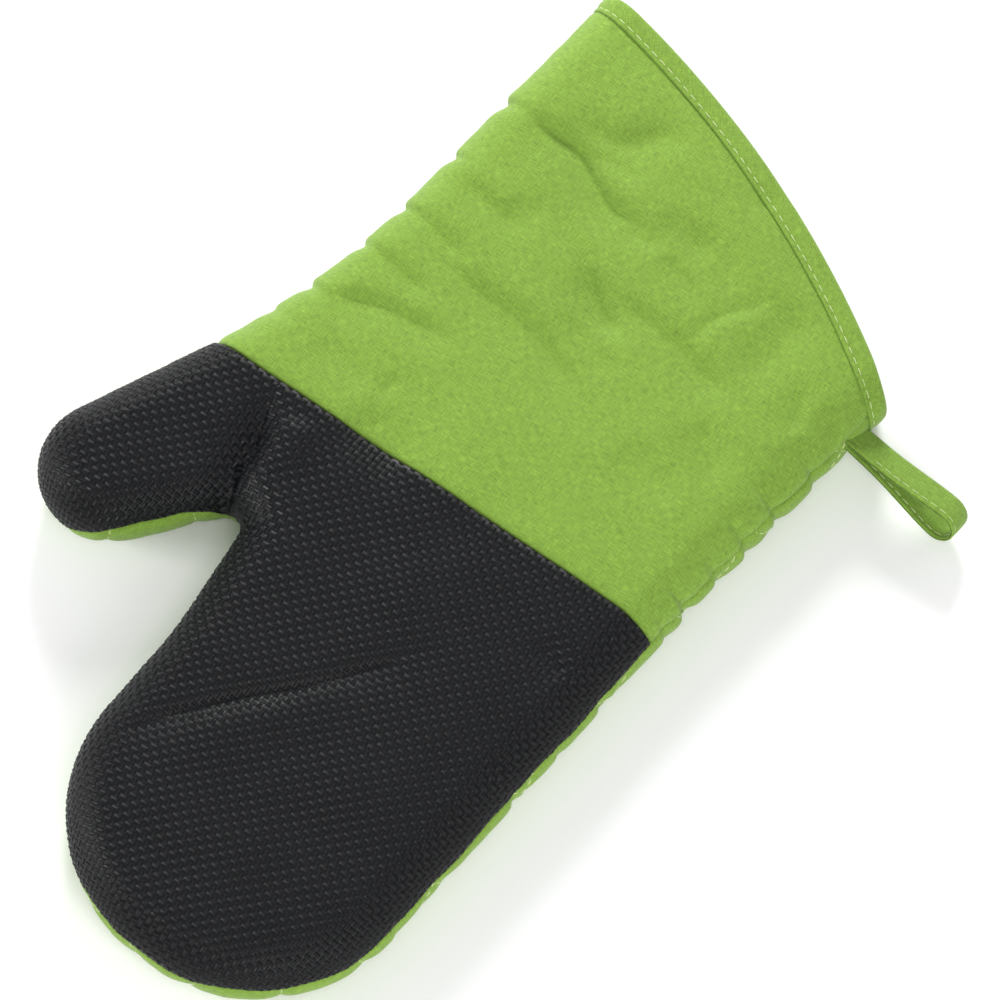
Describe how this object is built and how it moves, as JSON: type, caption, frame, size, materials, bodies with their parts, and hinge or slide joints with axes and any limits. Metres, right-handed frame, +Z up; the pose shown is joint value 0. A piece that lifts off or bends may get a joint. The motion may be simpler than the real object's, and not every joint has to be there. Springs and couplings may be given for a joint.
{
  "type": "oven mitt",
  "caption": "Padded oven mitt lying palm up: embossed black rubber grip over hand and thumb, green cotton cuff and quilted back, bound curved mouth, hanging loop.",
  "frame": {"origin": "on the rest plane, under the crossing of the hand's centre line and the seam between grip and cuff", "axes": "+Z up out of the palm side, +Y from the finger tips to the cuff, thumb on the -X side"},
  "size_m": [0.2485, 0.3488, 0.0303],
  "materials": {
    "grip": "matt, basket-weave embossed",
    "cotton": "plain weave cotton",
    "binding": "folded bias tape",
    "loop_tape": "folded tape",
    "thread": "sewing thread",
    "wadding": "soft wadding",
    "lining": "plain weave cotton, colour guessed"
  },
  "bodies": {
    "hand": {"palm_grip": "grip", "cuff_palm_cover": "cotton", "back_cover": "cotton", "palm_padding": "wadding", "back_padding": "wadding", "palm_lining": "lining", "back_lining": "lining", "hem_binding": "binding", "hem_stitch_palm": "thread", "hem_stitch_back": "thread", "loop_tail": "loop_tape", "quilting_thread_hand": "thread"},
    "fingers": {"finger_grip": "grip", "finger_back_cover": "cotton", "finger_palm_padding": "wadding", "finger_back_padding": "wadding", "finger_palm_lining": "lining", "finger_back_lining": "lining", "quilting_thread_fingers": "thread"},
    "thumb": {"thumb_grip": "grip", "thumb_back_cover": "cotton", "thumb_palm_padding": "wadding", "thumb_back_padding": "wadding", "thumb_palm_lining": "lining", "thumb_back_lining": "lining", "quilting_thread_thumb": "thread"},
    "loop": {"hanging_loop": "loop_tape", "loop_edge_stitch": "thread"}
  },
  "joints": [
    {"name": "finger_flex", "type": "hinge", "parent": "hand", "child": "fingers", "pos_m": [0, -0.062, 0.03], "axis": [-1, 0, 0], "range_deg": [0, 60]},
    {"name": "thumb_flex", "type": "hinge", "parent": "hand", "child": "thumb", "pos_m": [-0.0695, -0.05, 0.03], "axis": [-0.866, 0.5, 0], "range_deg": [0, 50]},
    {"name": "loop_swing", "type": "hinge", "parent": "hand", "child": "loop", "pos_m": [0.06972, 0.1, 0.015], "axis": [-0.0734, 0.9063, -0.4162], "range_deg": [-70, 70]}
  ]
}
